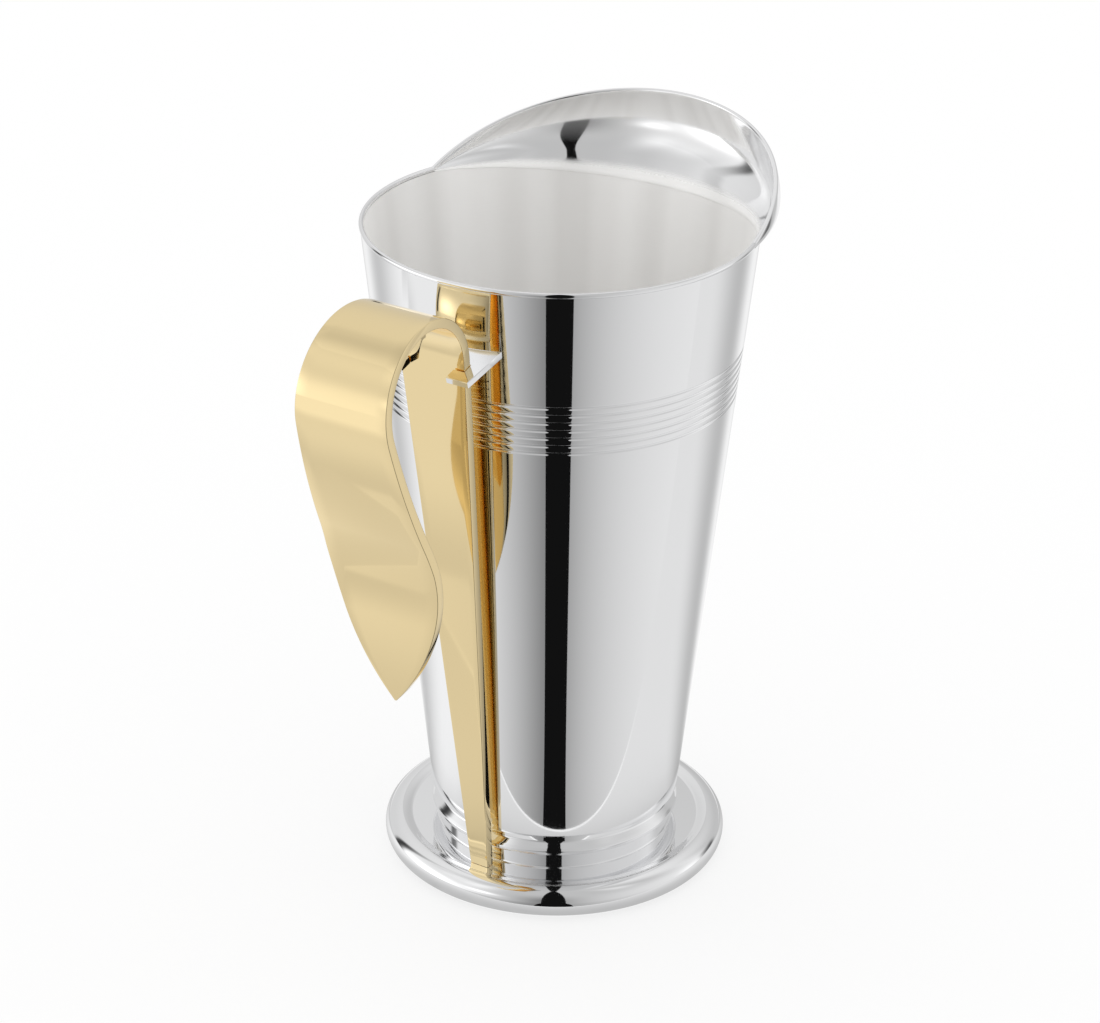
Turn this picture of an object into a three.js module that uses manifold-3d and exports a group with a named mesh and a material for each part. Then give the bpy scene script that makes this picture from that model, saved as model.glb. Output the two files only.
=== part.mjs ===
// Water pitcher: a tapered silver-plated vessel on a spun foot, with a raised scoop spout and a
// gold-plated strip handle. Millimetres, +Z up. The origin is the middle of the foot on the table,
// the handle lies towards -X and the spout towards +X, and the two sides mirror each other in Y.

import * as THREE from 'three';
import { mergeVertices } from 'three/addons/utils/BufferGeometryUtils.js';
import Module from 'manifold-3d';

const wasm = await Module();
wasm.setup();

// Clearance that neighbouring pieces keep
const GAP = 0.3;

// Vessel wall: a cone that widens from its lower edge to the rim
const BASE_RADIUS = 40.9;
const RIM_RADIUS = 62.5;
const BODY_HEIGHT = 197.6;
const WALL_SHEET = 1.2;
const BOTTOM_SHEET = 1.2;

// Band of rolled grooves, measured down from the rim
const GROOVE_COUNT = 7;
const GROOVE_BAND_DROP = 38.2;
const GROOVE_PITCH = 2.62;
const GROOVE_WIDTH = 1.1;
const GROOVE_DEPTH = 0.5;

// Wire along the rim
const RIM_WIRE = 1.8;

// Scoop spout: how far its lip rises and reaches beyond the rim, and the notch that it fills
const SPOUT_RISE = 20.6;
const SPOUT_REACH = 11.2;
const SPOUT_HALF_ANGLE = THREE.MathUtils.degToRad(74.8);
const SPOUT_ROOT_DROP = 7;
const SPOUT_SHEET = 1.4;

// Shares of the spout's height over which its section keeps upright at the root and at the lip,
// and the lean of the lip towards the mouth
const SPOUT_ROOT_UPRIGHT = 0.15;
const SPOUT_LIP_UPRIGHT = 1;
const SPOUT_LIP_LEAN = THREE.MathUtils.degToRad(3.4);

// Foot, from the table up: base ring, flat ledge, spool, bead and neck
const RING_TUBE = 5.3;
const RING_OFFSET = 10.5;
const HEM_WIDTH = 5;
const LEDGE_DROP = 1.2;
const SPOOL_HEIGHT = 5.2;
const BEAD_HEIGHT = 4.4;
const BEAD_BULGE = 1.9;
const NECK_HEIGHT = 3.6;
const NECK_INSET = 2.2;
const FLANGE_WIDTH = 9;
const FOOT_SHEET = 1;

// Handle strip: widths, bends and leans of its back face, which becomes the outside of the loop
const STRIP_THICKNESS = 3.1;
const STRIP_FOOT_WIDTH = 6.7;
const STRIP_NECK_WIDTH = 23.7;
const LEAF_WIDTH = 40;
const LEAF_POINT_LENGTH = 51.6;
const LEAF_TIP_WIDTH = 0.8;
const STRIP_FOOT_OFFSET = 0.8;
const STRIP_STANDOFF = 6.6;
const STRIP_RISE = 2.2;
const LOOP_RADIUS = 24.6;
const LEAF_SWEEP_RADIUS = 222;
const LEAF_RETURN_RADIUS = 93.2;
const LEAF_TAIL = 29.2;
const LEAF_LEAN_START = THREE.MathUtils.degToRad(14.8);
const LEAF_LEAN_MOST = THREE.MathUtils.degToRad(25.1);
const LEAF_LEAN_TIP = THREE.MathUtils.degToRad(5.1);

// Claw bracket, measured down from the rim to the middle of its plate at the strip
const BRACKET_DROP = 24.2;
const BRACKET_PLATE = 2.2;
const BRACKET_SIDE = 4;
const BRACKET_ROOT_SIDE = 6.4;
const BRACKET_DIP = THREE.MathUtils.degToRad(8);
const CLAW_THICKNESS = 4.2;
const CLAW_WRAP = 3.6;
const BRACKET_ROOT = 4;

// Fastening of the strip under the ledge
const STUD_RADIUS = 1.1;
const STUD_ROOT = 2;
const STUD_END = 0.8;
const WASHER_RADIUS = 2.6;
const WASHER_THICKNESS = 0.6;
const NUT_FLATS = 4.5;
const NUT_HEIGHT = 1.8;

// Facets
const ROUND_STEPS = 60;
const SPOUT_STEPS = 32;
const SPOUT_SECTION_STEPS = 9;
const WIRE_STEPS = 48;
const WIRE_SEGMENTS = 5;
const RING_STEPS = 8;
const BEAD_STEPS = 4;
const UPRIGHT_STEPS = 2;
const LOOP_STEPS = 26;
const SWEEP_STEPS = 6;
const RETURN_STEPS = 9;
const TAIL_STEPS = 10;
const STUD_SIDES = 16;
const MERGE_DISTANCE = 1e-4;

// Levels and radii that follow from the sizes above
const ringRadius = BASE_RADIUS + RING_OFFSET;
const neckRadius = BASE_RADIUS - NECK_INSET;
const ledgeHeight = 2 * RING_TUBE - LEDGE_DROP;
const beadFoot = ledgeHeight + SPOOL_HEIGHT;
const beadTop = beadFoot + BEAD_HEIGHT;
const footTop = beadTop + NECK_HEIGHT;
const baseHeight = footTop + GAP;
const rimHeight = baseHeight + BODY_HEIGHT;
const wallTop = rimHeight - RIM_WIRE - GAP;

const SILVER = { color: 0xd9d9db, metalness: 1, roughness: 0.12 };
const SATIN_SILVER = { color: 0xcfcdc8, metalness: 1, roughness: 0.4 };
const GOLD = { color: 0xe3c27c, metalness: 1, roughness: 0.14 };

function makePart(name, geometry, finish) {
  const mesh = new THREE.Mesh(geometry, new THREE.MeshStandardMaterial(finish));
  mesh.name = name;
  return mesh;
}

// Closed solid of a geometry, with shared corners merged and triangles without area left out
function solidOf(geometry) {
  const bare = geometry.clone();
  bare.deleteAttribute('normal');
  bare.deleteAttribute('uv');
  const merged = mergeVertices(bare, MERGE_DISTANCE);
  const corners = merged.index.array;
  const triVerts = [];
  for (let i = 0; i < corners.length; i += 3) {
    const [a, b, c] = corners.slice(i, i + 3);
    if (a !== b && b !== c && c !== a) triVerts.push(a, b, c);
  }
  return new wasm.Manifold(new wasm.Mesh({
    numProp: 3,
    vertProperties: Float32Array.from(merged.attributes.position.array),
    triVerts: Uint32Array.from(triVerts),
  }));
}

function geometryOf(solid) {
  const mesh = solid.getMesh();
  const geometry = new THREE.BufferGeometry();
  geometry.setAttribute('position', new THREE.BufferAttribute(mesh.vertProperties, 3));
  geometry.setIndex(new THREE.BufferAttribute(mesh.triVerts, 1));
  geometry.computeVertexNormals();
  return geometry;
}

// Solid of revolution about Z from an outline of [radius, height] points that runs up its outside
function turned(outline) {
  const points = outline.map(([radius, height]) => new THREE.Vector2(radius, height));
  return new THREE.LatheGeometry(points, ROUND_STEPS).rotateX(Math.PI / 2);
}

// Points on an ellipse about a centre, from one angle to another
function arcPoints([x, y], radiusX, radiusY, from, to, steps) {
  const points = [];
  for (let i = 0; i <= steps; i += 1) {
    const angle = from + ((to - from) * i) / steps;
    points.push([x + radiusX * Math.cos(angle), y + radiusY * Math.sin(angle)]);
  }
  return points;
}

// Closed outline of a sheet: its outside, then its inside a sheet's thickness to the left of travel
function sheetOutline(outside, thickness) {
  const normals = outside.slice(1).map(([x, y], i) => {
    const along = new THREE.Vector2(x - outside[i][0], y - outside[i][1]).normalize();
    return new THREE.Vector2(-along.y, along.x);
  });
  const inside = outside.map(([x, y], i) => {
    const before = normals[Math.max(i - 1, 0)];
    const after = normals[Math.min(i, normals.length - 1)];
    const mitre = before.clone().add(after);
    mitre.multiplyScalar((2 * thickness) / mitre.lengthSq());
    return [x + mitre.x, y + mitre.y];
  });
  return [...outside, ...inside.reverse(), outside[0]];
}

// Solid through a row of closed rings. Each ring runs along one side and back along the other.
function lofted(rings) {
  const size = rings[0].length;
  const positions = rings.flat().flatMap((point) => [point.x, point.y, point.z]);
  const index = [];
  const quad = (a, b, c, d) => index.push(a, b, c, a, c, d);
  for (let i = 0; i + 1 < rings.length; i += 1) {
    for (let j = 0; j < size; j += 1) {
      const next = (j + 1) % size;
      quad(i * size + j, i * size + next, (i + 1) * size + next, (i + 1) * size + j);
    }
  }
  const last = (rings.length - 1) * size;
  for (let j = 0; j + 1 < size / 2; j += 1) {
    const far = size - 1 - j;
    quad(far, far - 1, j + 1, j);
    quad(last + j, last + j + 1, last + far - 1, last + far);
  }
  const geometry = new THREE.BufferGeometry();
  geometry.setAttribute('position', new THREE.Float32BufferAttribute(positions, 3));
  geometry.setIndex(index);
  geometry.computeVertexNormals();
  return geometry;
}

// Outside radius of the vessel wall at a height
function wallRadius(height) {
  return BASE_RADIUS + ((RIM_RADIUS - BASE_RADIUS) * (height - baseHeight)) / BODY_HEIGHT;
}

// Share of the spout's full rise and reach at an angle from its middle
function spoutShare(angle) {
  return Math.max(Math.cos((angle / SPOUT_HALF_ANGLE) * (Math.PI / 2)), 0);
}

// Bottom of the notch that the wall has for the spout
function notchHeight(angle) {
  return wallTop - SPOUT_ROOT_DROP * spoutShare(angle);
}

function spoutAngles() {
  const step = (2 * SPOUT_HALF_ANGLE) / SPOUT_STEPS;
  return Array.from({ length: SPOUT_STEPS + 1 }, (_, i) => SPOUT_HALF_ANGLE - i * step);
}

function onRay(angle, radius, height) {
  return new THREE.Vector3(radius * Math.cos(angle), radius * Math.sin(angle), height);
}

// Block that takes the notch out of the wall
function notchBlock() {
  const inner = BASE_RADIUS - WALL_SHEET;
  const outer = RIM_RADIUS + WALL_SHEET;
  const top = rimHeight + GAP;
  return lofted(spoutAngles().map((angle) => [
    onRay(angle, outer, notchHeight(angle)),
    onRay(angle, outer, top),
    onRay(angle, inner, top),
    onRay(angle, inner, notchHeight(angle)),
  ]));
}

// Wall with its grooves, open at both ends and notched for the spout
function vesselWall() {
  const outside = [[wallRadius(baseHeight), baseHeight]];
  for (let i = GROOVE_COUNT - 1; i >= 0; i -= 1) {
    const upper = rimHeight - GROOVE_BAND_DROP - i * GROOVE_PITCH;
    const lower = upper - GROOVE_WIDTH;
    const middle = (upper + lower) / 2;
    outside.push([wallRadius(lower), lower]);
    outside.push([wallRadius(middle) - GROOVE_DEPTH, middle]);
    outside.push([wallRadius(upper), upper]);
  }
  outside.push([wallRadius(wallTop), wallTop]);
  const inside = [wallTop, baseHeight].map((height) => [wallRadius(height) - WALL_SHEET, height]);
  const wall = turned([...outside, ...inside, outside[0]]);
  return geometryOf(solidOf(wall).subtract(solidOf(notchBlock())));
}

// Disc inside the wall's lower edge, on the flange of the foot
function vesselBottom() {
  const radius = wallRadius(baseHeight) - WALL_SHEET - GAP;
  const top = baseHeight + BOTTOM_SHEET;
  return turned([[0, baseHeight], [radius, baseHeight], [radius, top], [0, top]]);
}

class RimArc extends THREE.Curve {
  getPoint(t) {
    const start = SPOUT_HALF_ANGLE + GAP / RIM_RADIUS;
    const angle = start + t * 2 * (Math.PI - start);
    return onRay(angle, RIM_RADIUS - WALL_SHEET / 2, rimHeight - RIM_WIRE / 2);
  }
}

// Round wire on the wall's top edge, from one end of the spout round to the other
function rimWire() {
  const section = new THREE.Shape();
  section.absarc(0, 0, RIM_WIRE / 2, 0, 2 * Math.PI);
  return new THREE.ExtrudeGeometry(section, {
    steps: WIRE_STEPS,
    curveSegments: WIRE_SEGMENTS,
    extrudePath: new RimArc(),
  });
}

// One radial section of the spout: up from the notch, out over a soft ridge and up to the lip
function spoutSection(angle) {
  const share = spoutShare(angle);
  const root = notchHeight(angle) + GAP;
  const height = rimHeight + SPOUT_RISE * share - root;
  const start = new THREE.Vector2(wallRadius(root) - WALL_SHEET / 2, root);
  const end = new THREE.Vector2(RIM_RADIUS - WALL_SHEET / 2 + SPOUT_REACH * share, root + height);
  const lipLength = SPOUT_LIP_UPRIGHT * height;
  const middle = new THREE.CubicBezierCurve(
    start,
    new THREE.Vector2(start.x, start.y + SPOUT_ROOT_UPRIGHT * height),
    new THREE.Vector2(end.x + lipLength * Math.tan(SPOUT_LIP_LEAN), end.y - lipLength),
    end,
  );
  const sides = [SPOUT_SHEET / 2, -SPOUT_SHEET / 2].map((offset) => {
    const points = [];
    for (let i = 0; i <= SPOUT_SECTION_STEPS; i += 1) {
      const t = i / SPOUT_SECTION_STEPS;
      const point = middle.getPoint(t);
      const along = middle.getTangent(t);
      points.push(onRay(angle, point.x + offset * along.y, point.y - offset * along.x));
    }
    return points;
  });
  return [...sides[0], ...sides[1].reverse()];
}

function spout() {
  return lofted(spoutAngles().map(spoutSection));
}

// Hollow foot of one sheet: hem and base ring, ledge, spool, bead, neck and flange
function foot() {
  const ringEnd = Math.PI - Math.asin((ledgeHeight - RING_TUBE) / RING_TUBE);
  const beadMiddle = [neckRadius, (beadFoot + beadTop) / 2];
  const outside = [
    [ringRadius - HEM_WIDTH, 0],
    ...arcPoints([ringRadius, RING_TUBE], RING_TUBE, RING_TUBE, -Math.PI / 2, ringEnd, RING_STEPS),
    [neckRadius, ledgeHeight],
    ...arcPoints(beadMiddle, BEAD_BULGE, BEAD_HEIGHT / 2, -Math.PI / 2, Math.PI / 2, BEAD_STEPS),
    [neckRadius, footTop],
    [neckRadius - FLANGE_WIDTH, footTop],
  ];
  const stud = strip.stud();
  const hole = new THREE.CylinderGeometry(STUD_RADIUS + GAP, STUD_RADIUS + GAP, stud.height, STUD_SIDES);
  hole.rotateX(Math.PI / 2).translate(-stud.reach, 0, stud.middle);
  return geometryOf(solidOf(turned(sheetOutline(outside, FOOT_SHEET))).subtract(solidOf(hole)));
}

// The handle strip's back face as a path in the plane of the handle, where reach is the distance
// from the vessel's axis. It runs straight up, loops over outwards and comes down as a leaf.
class StripPath {
  constructor() {
    this.foot = ledgeHeight + GAP;
    this.footReach = BASE_RADIUS + STRIP_FOOT_OFFSET;
    this.bracketHeight = rimHeight - BRACKET_DROP;
    const rise = this.bracketHeight - this.foot;
    const out = wallRadius(this.bracketHeight) + STRIP_STANDOFF - this.footReach;
    this.lean = Math.atan2(out, rise);
    this.bracketLength = Math.hypot(out, rise);
    const loopTurn = Math.PI + LEAF_LEAN_START - this.lean;
    const sweepTurn = LEAF_LEAN_MOST - LEAF_LEAN_START;
    const returnTurn = LEAF_LEAN_MOST - LEAF_LEAN_TIP;
    this.runs = [
      { length: this.bracketLength + STRIP_RISE, bend: 0, steps: UPRIGHT_STEPS },
      { length: LOOP_RADIUS * loopTurn, bend: 1 / LOOP_RADIUS, steps: LOOP_STEPS },
      { length: LEAF_SWEEP_RADIUS * sweepTurn, bend: 1 / LEAF_SWEEP_RADIUS, steps: SWEEP_STEPS },
      { length: LEAF_RETURN_RADIUS * returnTurn, bend: -1 / LEAF_RETURN_RADIUS, steps: RETURN_STEPS },
      { length: LEAF_TAIL, bend: 0, steps: TAIL_STEPS },
    ];
    this.length = this.runs.reduce((sum, run) => sum + run.length, 0);
  }

  // Half width at a length along the strip: two straight tapers and a pointed arch
  halfWidth(length) {
    const neck = this.runs[0].length;
    const shoulder = this.length - LEAF_POINT_LENGTH;
    const widest = LEAF_WIDTH / 2;
    if (length < neck) {
      return THREE.MathUtils.mapLinear(length, 0, neck, STRIP_FOOT_WIDTH / 2, STRIP_NECK_WIDTH / 2);
    }
    if (length < shoulder) {
      return THREE.MathUtils.mapLinear(length, neck, shoulder, STRIP_NECK_WIDTH / 2, widest);
    }
    const drop = widest - LEAF_TIP_WIDTH / 2;
    const radius = (LEAF_POINT_LENGTH ** 2 + drop ** 2) / (2 * drop);
    return widest - radius + Math.sqrt(radius ** 2 - (length - shoulder) ** 2);
  }

  // Stations along the path: reach, height, heading from straight up, and half width
  stations() {
    let place = { reach: this.footReach, height: this.foot, heading: this.lean, length: 0 };
    const stations = [place];
    this.runs.forEach(({ length, bend, steps }) => {
      const start = place;
      for (let i = 1; i <= steps; i += 1) {
        const travelled = (length * i) / steps;
        const turn = bend * travelled;
        const chord = bend === 0 ? travelled : (2 / bend) * Math.sin(turn / 2);
        place = {
          reach: start.reach + chord * Math.sin(start.heading + turn / 2),
          height: start.height + chord * Math.cos(start.heading + turn / 2),
          heading: start.heading + turn,
          length: start.length + travelled,
        };
        stations.push(place);
      }
    });
    return stations;
  }

  // Stud under the strip's lower end, long enough for the ledge, the washer and the nut
  stud() {
    const below = GAP + FOOT_SHEET + GAP + WASHER_THICKNESS + GAP + NUT_HEIGHT + STUD_END;
    const height = STUD_ROOT + below;
    return {
      reach: this.footReach + STRIP_THICKNESS / Math.cos(this.lean) / 2,
      height,
      middle: this.foot + STUD_ROOT - height / 2,
    };
  }
}

const strip = new StripPath();

// Strip of even thickness with its lower end cut level, and the stud in one piece with it
function handleStrip() {
  const rings = strip.stations().map(({ reach, height, heading, length }, i) => {
    const half = strip.halfWidth(length);
    const level = i === 0;
    const across = level ? STRIP_THICKNESS / Math.cos(heading) : STRIP_THICKNESS * Math.cos(heading);
    const down = level ? 0 : STRIP_THICKNESS * Math.sin(heading);
    return [
      new THREE.Vector3(-reach, -half, height),
      new THREE.Vector3(-reach, half, height),
      new THREE.Vector3(-reach - across, half, height - down),
      new THREE.Vector3(-reach - across, -half, height - down),
    ];
  });
  const { reach, height, middle } = strip.stud();
  const stud = new THREE.CylinderGeometry(STUD_RADIUS, STUD_RADIUS, height, STUD_SIDES);
  stud.rotateX(Math.PI / 2).translate(-reach, 0, middle);
  return geometryOf(solidOf(lofted(rings)).add(solidOf(stud)));
}

// Claw plate that dips outwards from square to the strip: it reaches from the wall, passes both
// edges and hooks over the front
function handleBracket() {
  const stripHalf = strip.halfWidth(strip.bracketLength + BRACKET_PLATE / 2);
  const slot = stripHalf + GAP;
  const slack = GAP + (BRACKET_PLATE / 2) * Math.tan(BRACKET_DIP);
  const mouth = stripHalf - CLAW_WRAP;
  const back = -STRIP_STANDOFF - BRACKET_ROOT;
  const slotFront = STRIP_THICKNESS / Math.cos(BRACKET_DIP) + slack;
  const front = slotFront + CLAW_THICKNESS;
  const rightSide = [
    [back, slot + BRACKET_ROOT_SIDE],
    [front, slot + BRACKET_SIDE],
    [front, mouth],
    [slotFront, mouth],
    [slotFront, slot],
    [-slack, slot],
  ].map(([out, across]) => new THREE.Vector2(out, across));
  const leftSide = rightSide.map(({ x, y }) => new THREE.Vector2(x, -y)).reverse();
  const outline = [...leftSide, ...rightSide];
  const plate = new THREE.ExtrudeGeometry(new THREE.Shape(outline), {
    depth: BRACKET_PLATE,
    bevelEnabled: false,
  });
  plate.translate(0, 0, -BRACKET_PLATE / 2);
  const tilt = strip.lean + BRACKET_DIP;
  const outward = new THREE.Vector3(-Math.cos(tilt), 0, -Math.sin(tilt));
  const upward = new THREE.Vector3(-Math.sin(tilt), 0, Math.cos(tilt));
  const sideways = new THREE.Vector3().crossVectors(upward, outward);
  const reach = wallRadius(strip.bracketHeight) + STRIP_STANDOFF;
  plate.applyMatrix4(new THREE.Matrix4().makeBasis(outward, sideways, upward));
  plate.translate(-reach, 0, strip.bracketHeight);
  const vessel = turned([
    [0, baseHeight],
    [wallRadius(baseHeight) + GAP, baseHeight],
    [wallRadius(rimHeight) + GAP, rimHeight],
    [0, rimHeight],
  ]);
  return geometryOf(solidOf(plate).subtract(solidOf(vessel)));
}

// Flat ring or nut under the ledge: an outline with the stud's hole, by its top and its thickness
function underLedge(outline, top, thickness) {
  const hole = new THREE.Path();
  hole.absarc(0, 0, STUD_RADIUS + GAP, 0, 2 * Math.PI);
  outline.holes.push(hole);
  const settings = { depth: thickness, bevelEnabled: false, curveSegments: STUD_SIDES / 2 };
  const { reach } = strip.stud();
  return new THREE.ExtrudeGeometry(outline, settings).translate(-reach, 0, top - thickness);
}

const washerTop = ledgeHeight - FOOT_SHEET - GAP;
const nutTop = washerTop - WASHER_THICKNESS - GAP;

function handleWasher() {
  const outline = new THREE.Shape();
  outline.absarc(0, 0, WASHER_RADIUS, 0, 2 * Math.PI);
  return underLedge(outline, washerTop, WASHER_THICKNESS);
}

function handleNut() {
  const corner = NUT_FLATS / Math.sqrt(3);
  const corners = arcPoints([0, 0], corner, corner, 0, (5 * Math.PI) / 3, 5);
  const outline = new THREE.Shape(corners.map(([x, y]) => new THREE.Vector2(x, y)));
  return underLedge(outline, nutTop, NUT_HEIGHT);
}

const pitcher = new THREE.Group();
pitcher.add(
  makePart('vessel_wall', vesselWall(), SILVER),
  makePart('vessel_bottom', vesselBottom(), SATIN_SILVER),
  makePart('rim_wire', rimWire(), SILVER),
  makePart('spout', spout(), SILVER),
  makePart('foot', foot(), SILVER),
  makePart('handle_strip', handleStrip(), GOLD),
  makePart('handle_bracket', handleBracket(), SILVER),
  makePart('handle_washer', handleWasher(), SILVER),
  makePart('handle_nut', handleNut(), GOLD),
);

export default pitcher;
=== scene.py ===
import bpy
import numpy as np
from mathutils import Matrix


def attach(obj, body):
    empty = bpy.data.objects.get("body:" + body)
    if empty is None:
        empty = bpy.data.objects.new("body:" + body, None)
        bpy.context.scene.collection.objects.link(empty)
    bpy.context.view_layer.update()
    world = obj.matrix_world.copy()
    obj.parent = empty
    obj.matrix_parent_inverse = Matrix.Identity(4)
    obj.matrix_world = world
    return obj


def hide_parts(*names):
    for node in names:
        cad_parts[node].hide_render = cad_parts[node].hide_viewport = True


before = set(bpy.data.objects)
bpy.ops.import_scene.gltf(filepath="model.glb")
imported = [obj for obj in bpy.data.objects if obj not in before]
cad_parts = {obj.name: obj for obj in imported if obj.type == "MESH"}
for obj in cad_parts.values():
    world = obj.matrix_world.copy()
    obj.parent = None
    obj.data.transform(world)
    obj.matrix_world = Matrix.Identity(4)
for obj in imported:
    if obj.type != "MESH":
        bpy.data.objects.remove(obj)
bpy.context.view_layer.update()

# Foot
# One sheet of brass spun to a hollow foot and silver-plated: a round base ring with a flat hem under
# it, a flat ledge, a short spool, a bead and a neck. Its top flange is soldered under the vessel.

ROUND = 320


def arc(centre, radius, start, end, count):
    """Points on an ellipse about centre: centre + (rx cos a, ry sin a) for even angles a in degrees."""
    angle = np.radians(np.linspace(start, end, count))
    return np.asarray(centre) + np.stack([np.cos(angle), np.sin(angle)], 1) * radius


def line(start, end, count):
    """Even points on a straight line from start to end."""
    return np.linspace(start, end, count)


def joined(*runs):
    """The runs one after the other, with a point that repeats the one before it left out."""
    points = np.concatenate(runs)
    step = np.hypot(*np.diff(points, axis=0).T)
    return points[np.concatenate([[True], step > 1e-6])]


def spun(section, count=ROUND):
    """Rings of a turned piece: the section's (radius, height) points at even angles about Z."""
    angle = np.linspace(0, 2 * np.pi, count, endpoint=False)[:, None]
    radius, height = section.T
    return np.stack([radius * np.cos(angle), radius * np.sin(angle), height + 0 * angle], 2)


def skin(name, rings, closed, sharp=32):
    """Closed mesh through rings of points in millimetres, joined ring to ring and point to point.
    The last ring meets the first one, or both end rings are filled by a fan about their middle."""
    count, size, _ = rings.shape
    i = np.arange(count if closed else count - 1)[:, None]
    j = np.arange(size)
    after = (i + 1) % count
    beside = (j + 1) % size
    walls = np.stack([i * size + j, i * size + beside, after * size + beside, after * size + j], 2)
    walls = walls.reshape(-1, 4)
    fans = np.zeros((0, 3), int)
    points = rings.reshape(-1, 3)
    if not closed:
        last = (count - 1) * size
        ends = np.stack([rings[0].mean(0), rings[-1].mean(0)])
        first_fan = np.stack([np.full(size, count * size), beside, j], 1)
        last_fan = np.stack([np.full(size, count * size + 1), last + j, last + beside], 1)
        fans = np.vstack([first_fan, last_fan])
        points = np.vstack([points, ends])
    return piece(name, points, walls, fans, sharp)


def piece(name, points, walls, fans, sharp):
    """Object in metres from points in millimetres, with its faces turned outwards: the sum of the
    signed volumes under them is positive. Edges that fold by more than sharp degrees stay crisp."""
    triangles = np.vstack([walls[:, :3], walls[:, [0, 2, 3]], fans])
    a, b, c = (points[triangles[:, k]] for k in range(3))
    turn = 1 if (a * np.cross(b, c)).sum() > 0 else -1
    faces = walls[:, ::turn].tolist() + fans[:, ::turn].tolist()
    mesh = bpy.data.meshes.new(name)
    mesh.from_pydata((points * 0.001).tolist(), [], faces)
    mesh.polygons.foreach_set("use_smooth", np.ones(len(faces), bool))
    mesh.set_sharp_from_angle(angle=np.radians(sharp))
    mesh.validate()
    made = bpy.data.objects.new(name, mesh)
    bpy.context.scene.collection.objects.link(made)
    return made


class Field:
    """A socket whose value changes over a surface. Arithmetic on it adds Math nodes."""

    def __init__(self, finish, socket):
        self.finish = finish
        self.socket = socket

    def math(self, operation, first, second):
        return self.finish.node("Math", {"operation": operation}, {0: first, 1: second})

    def __add__(self, other):
        return self.math("ADD", self, other)

    def __radd__(self, other):
        return self.math("ADD", other, self)

    def __sub__(self, other):
        return self.math("SUBTRACT", self, other)

    def __rsub__(self, other):
        return self.math("SUBTRACT", other, self)

    def __mul__(self, other):
        return self.math("MULTIPLY", self, other)

    def __rmul__(self, other):
        return self.math("MULTIPLY", other, self)


class Finish:
    """A material under way, with its Principled shader."""

    def __init__(self, name):
        self.material = bpy.data.materials.new(name)
        self.material.use_nodes = True
        self.tree = self.material.node_tree
        self.shader = self.tree.nodes["Principled BSDF"]

    def feed(self, socket, value):
        if isinstance(value, Field):
            self.tree.links.new(value.socket, socket)
        else:
            socket.default_value = value

    def node(self, kind, settings, sockets, output=0):
        """Adds a node: its type, its settings, then its sockets' values or links. Gives one output."""
        made = self.tree.nodes.new("ShaderNode" + kind)
        for key, value in settings.items():
            setattr(made, key, value)
        for key, value in sockets.items():
            self.feed(made.inputs[key], value)
        return Field(self, made.outputs[output])

    def set(self, **sockets):
        for key, value in sockets.items():
            self.feed(self.shader.inputs[key.replace("_", " ")], value)

    def blend(self, share, first, second):
        """Colour between two colours by a share from 0 to 1."""
        settings = {"data_type": "RGBA"}
        return self.node("Mix", settings, {"Factor": share, 6: first, 7: second}, 2)

    def place(self):
        return self.node("TexCoord", {}, {}, "Object")

    def grain(self, scale, detail=3.0, where=None):
        """Soft noise from 0 to 1 with a scale in cycles per metre."""
        sockets = {"Vector": where or self.place(), "Scale": scale, "Detail": detail}
        return self.node("TexNoise", {}, sockets, "Fac")

    def spun_lines(self, across, scale):
        """Noise of one length only, so that it draws fine lines square to that length."""
        sockets = {"W": across, "Scale": scale, "Detail": 4.0}
        return self.node("TexNoise", {"noise_dimensions": "1D"}, sockets, "Fac")


def polished_silver(name):
    """Mirror-polished silver plate: near-white metal with a faint warm bloom and polishing haze."""
    finish = Finish(name)
    bloom = finish.grain(22.0)
    haze = finish.grain(160.0, 5.0)
    finish.set(
        Metallic=1.0,
        Base_Color=finish.blend(bloom, (0.93, 0.932, 0.94, 1), (0.905, 0.907, 0.912, 1)),
        Roughness=haze * 0.03 + 0.022,
    )
    return finish


RING = (51.4, 5.3)
RING_TUBE = 5.3
HEM = 5.0
LEDGE = 9.4
LEDGE_FILLET = 1.7
SPOOL_FILLET = 0.6
NECK = 38.7
BEAD_FOOT = 14.6
BEAD_EDGE = (15.9, 16.9)
BEAD_TOP = 19.0
BEAD_BULGE = 2.2
BEAD_ROUND = 0.35
FOOT_TOP = 21.85
BEAD_SHOULDER = (0.5, 0.42)
COVE_START = (0.35, -0.25)
COVE_MIDDLE = (0.12, -0.02)
COVE_END = 0.3
FLANGE = 9.0
FOOT_SHEET = 1.0
INSIDE_LEDGE = 4.0
APART = 0.1

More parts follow.
